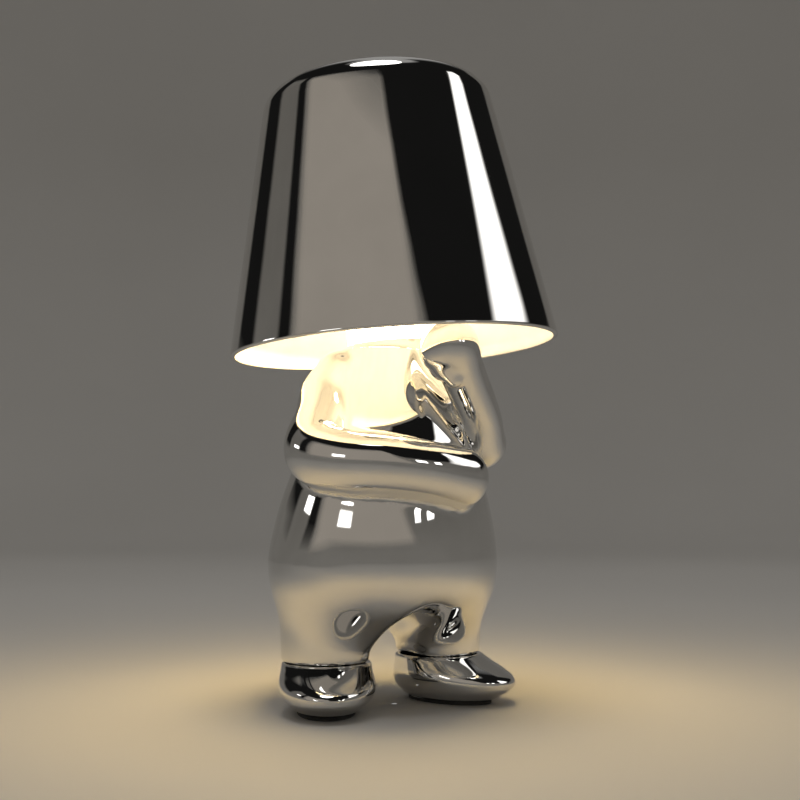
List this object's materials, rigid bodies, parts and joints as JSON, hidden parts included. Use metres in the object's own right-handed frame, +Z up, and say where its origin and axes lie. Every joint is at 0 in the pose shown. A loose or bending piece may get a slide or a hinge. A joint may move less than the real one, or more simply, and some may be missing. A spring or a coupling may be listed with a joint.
{
  "type": "cordless table lamp",
  "caption": "Cordless table lamp: a plated standing figure with one arm folded and one raised wears a tapered, closed-top shade over a lit opal diffuser.",
  "frame": {"origin": "on the table, under the centre of the shade's rim", "axes": "+Z up; the figure faces -Y, so its back with the button and the charging port is at +Y; +X is the figure's left side"},
  "size_m": [0.1213, 0.1216, 0.23],
  "materials": {
    "chrome_plate": "mirror-bright plating",
    "steel": "zinc-plated steel",
    "nickel": "bright nickel plating",
    "aluminium": "turned",
    "rubber": "matt",
    "black_plastic": "moulded",
    "ivory_plastic": "moulded",
    "button_metal": "satin plating",
    "circuit_board": "solder mask",
    "led": "yellow phosphor",
    "clear_plastic": "polished clear",
    "opal": "frosted opal, lit from inside",
    "cell_wrap": "shrink wrap",
    "red_wire": "insulation",
    "black_wire": "insulation"
  },
  "bodies": {
    "lamp_base": {"arm_dowels": "steel", "battery_cell": "cell_wrap", "battery_cradle": "black_plastic", "battery_minus_lead": "black_wire", "battery_plus_lead": "red_wire", "board_connectors": "ivory_plastic", "board_screws": "steel", "centre_rod": "steel", "charge_light_pipe": "clear_plastic", "charging_port": "nickel", "clamp_nut": "steel", "control_board": "circuit_board", "cover_screws": "steel", "cradle_screws": "steel", "diffuser": "opal", "diffuser_nut": "chrome_plate", "folded_arm": "chrome_plate", "foot_ballast": "steel", "foot_screws": "steel", "heat_spreader": "aluminium", "led_board": "circuit_board", "led_chips": "led", "led_minus_lead": "black_wire", "led_plus_lead": "red_wire", "left_foot": "chrome_plate", "left_leg": "chrome_plate", "left_sole": "rubber", "minus_contact": "nickel", "neck_nut": "steel", "neck_washer": "steel", "pivot_pin": "steel", "plus_contact": "nickel", "raised_arm": "chrome_plate", "rear_cover": "chrome_plate", "right_foot": "chrome_plate", "right_leg": "chrome_plate", "right_sole": "rubber", "seat_circlip": "steel", "switch_housing": "black_plastic", "thrust_washer": "ivory_plastic", "torso_casting": "chrome_plate"},
    "shade_seat": {"swivel_seat": "black_plastic", "seat_magnet": "nickel"},
    "shade": {"shade_shell": "chrome_plate", "shade_keeper": "steel"},
    "button": {"power_button": "button_metal", "switch_plunger": "ivory_plastic"}
  },
  "joints": [
    {"name": "shade_turn", "type": "hinge", "parent": "lamp_base", "child": "shade_seat", "pos_m": [0, 0, 0.1294], "axis": [-0.0667, 0.0256, 0.9974], "continuous": true},
    {"name": "shade_lift", "type": "slide", "parent": "shade_seat", "child": "shade", "axis": [-0.0667, 0.0256, 0.9974], "range_m": [0, 0.105]},
    {"name": "power_press", "type": "slide", "parent": "lamp_base", "child": "button", "axis": [0, -0.9992, -0.0387], "range_m": [0, 0.0008], "stiffness_N_per_m": 1500}
  ]
}
